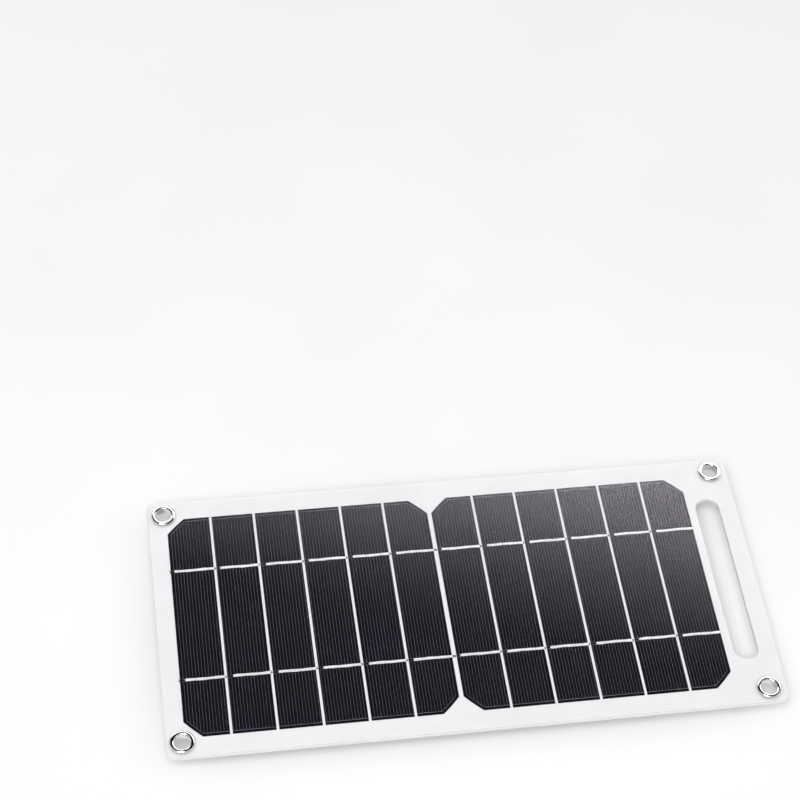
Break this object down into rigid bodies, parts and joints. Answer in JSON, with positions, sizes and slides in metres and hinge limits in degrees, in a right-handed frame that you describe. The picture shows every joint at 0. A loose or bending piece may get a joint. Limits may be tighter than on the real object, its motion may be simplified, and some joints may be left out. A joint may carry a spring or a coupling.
{
  "type": "solar phone charger",
  "caption": "Flat solar phone charger: a row of dark cell strips in a white laminate, corner eyelets, a hand slot and a rear USB box with a hinged port cover.",
  "frame": {"origin": "under the centre of the panel, level with the flat underside of the rear box", "axes": "+X along the panel towards the hand slot, +Y towards the top edge, +Z out of the sun side"},
  "size_m": [0.3, 0.146, 0.0162],
  "materials": {
    "clear_film": "clear polyester film, slight orange peel",
    "clear_encapsulant": "clear laminating layer",
    "white_encapsulant": "white laminating layer",
    "white_board": "white glass-fibre laminate, satin",
    "silicon_cell": "near-black anti-reflection coated silicon",
    "tinned_ribbon": "tin-plated copper, bright",
    "solder": "solder, bright",
    "nickel_plate": "bright nickel plate",
    "foam_adhesive": "closed-cell foam tape, matte",
    "box_plastic": "black moulded plastic, fine texture",
    "gasket_rubber": "silicone, matte",
    "flap_rubber": "soft-touch rubber, matte",
    "zinc_steel": "zinc-plated steel",
    "usb_steel": "nickel-plated steel sheet",
    "usb_plastic": "white moulded insulator",
    "gold_contact": "gold flash",
    "circuit_board": "green solder mask",
    "chip_plastic": "black moulding compound",
    "ferrite": "ferrite, matte",
    "capacitor_can": "aluminium can",
    "status_light": "surface-mounted light",
    "light_pipe": "clear acrylic"
  },
  "bodies": {
    "charger": {"adhesive_pad": "foam_adhesive", "back_board": "white_board", "blocking_diode": "chip_plastic", "box_base": "box_plastic", "box_cover": "box_plastic", "capacitors": "capacitor_can", "cell_strip_01": "silicon_cell", "cell_strip_02": "silicon_cell", "cell_strip_03": "silicon_cell", "cell_strip_04": "silicon_cell", "cell_strip_05": "silicon_cell", "cell_strip_06": "silicon_cell", "cell_strip_07": "silicon_cell", "cell_strip_08": "silicon_cell", "cell_strip_09": "silicon_cell", "cell_strip_10": "silicon_cell", "cell_strip_11": "silicon_cell", "cell_strip_12": "silicon_cell", "circuit_board": "circuit_board", "cover_gasket": "gasket_rubber", "cover_screws": "zinc_steel", "eyelet_bottom_left": "nickel_plate", "eyelet_bottom_right": "nickel_plate", "eyelet_top_left": "nickel_plate", "eyelet_top_right": "nickel_plate", "eyelet_washer_bottom_left": "nickel_plate", "eyelet_washer_bottom_right": "nickel_plate", "eyelet_washer_top_left": "nickel_plate", "eyelet_washer_top_right": "nickel_plate", "front_encapsulant": "clear_encapsulant", "front_film": "clear_film", "hinge_pin": "zinc_steel", "lead_solder_joints": "solder", "light_pipe": "light_pipe", "negative_bus_ribbon": "tinned_ribbon", "negative_end_tabs": "tinned_ribbon", "negative_lead_ribbon": "tinned_ribbon", "positive_bus_ribbon": "tinned_ribbon", "positive_end_tabs": "tinned_ribbon", "positive_lead_ribbon": "tinned_ribbon", "power_inductor": "ferrite", "rear_encapsulant": "white_encapsulant", "regulator_chip": "chip_plastic", "status_light": "status_light", "tab_ribbons_01_02": "tinned_ribbon", "tab_ribbons_02_03": "tinned_ribbon", "tab_ribbons_03_04": "tinned_ribbon", "tab_ribbons_04_05": "tinned_ribbon", "tab_ribbons_05_06": "tinned_ribbon", "tab_ribbons_06_07": "tinned_ribbon", "tab_ribbons_07_08": "tinned_ribbon", "tab_ribbons_08_09": "tinned_ribbon", "tab_ribbons_09_10": "tinned_ribbon", "tab_ribbons_10_11": "tinned_ribbon", "tab_ribbons_11_12": "tinned_ribbon", "usb_contacts": "gold_contact", "usb_insulator": "usb_plastic", "usb_shell": "usb_steel"},
    "port_flap": {"port_cover": "flap_rubber"}
  },
  "joints": [
    {"name": "port_cover_hinge", "type": "hinge", "parent": "charger", "child": "port_flap", "pos_m": [0.0297, -0.0106, 0.00485], "axis": [0, 0, -1], "range_deg": [0, 120]}
  ]
}
